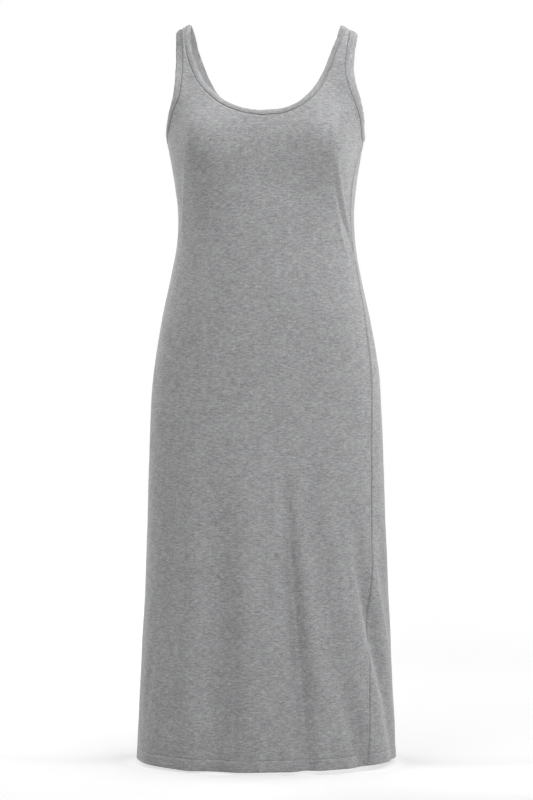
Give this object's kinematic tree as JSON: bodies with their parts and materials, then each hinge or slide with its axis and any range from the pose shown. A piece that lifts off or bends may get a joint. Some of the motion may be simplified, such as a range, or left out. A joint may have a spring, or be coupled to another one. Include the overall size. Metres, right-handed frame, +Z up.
{
  "type": "tank dress",
  "caption": "Sleeveless scoop-neck jersey tank dress, midi length, with bound neck and armholes, side seams and a turned-up hem, filled out as when worn.",
  "frame": {"origin": "midway between the undersides of the two strap tops, where the dress rests on the shoulders", "axes": "+Z up along the dress towards the straps, +X towards the dress's left as worn (the viewer's right from the front), the front faces -Y"},
  "size_m": [0.4079, 0.2811, 1.1561],
  "materials": {
    "front_panel": "grey heathered cotton jersey, matt",
    "back_panel": "grey heathered cotton jersey, matt",
    "neck_binding": "grey heathered cotton jersey, folded strip, matt",
    "armhole_binding_right": "grey heathered cotton jersey, folded strip, matt",
    "armhole_binding_left": "grey heathered cotton jersey, folded strip, matt"
  },
  "bodies": {
    "root": {"front_panel": "front_panel", "back_panel": "back_panel", "neck_binding": "neck_binding", "armhole_binding_right": "armhole_binding_right", "armhole_binding_left": "armhole_binding_left"}
  },
  "joints": []
}
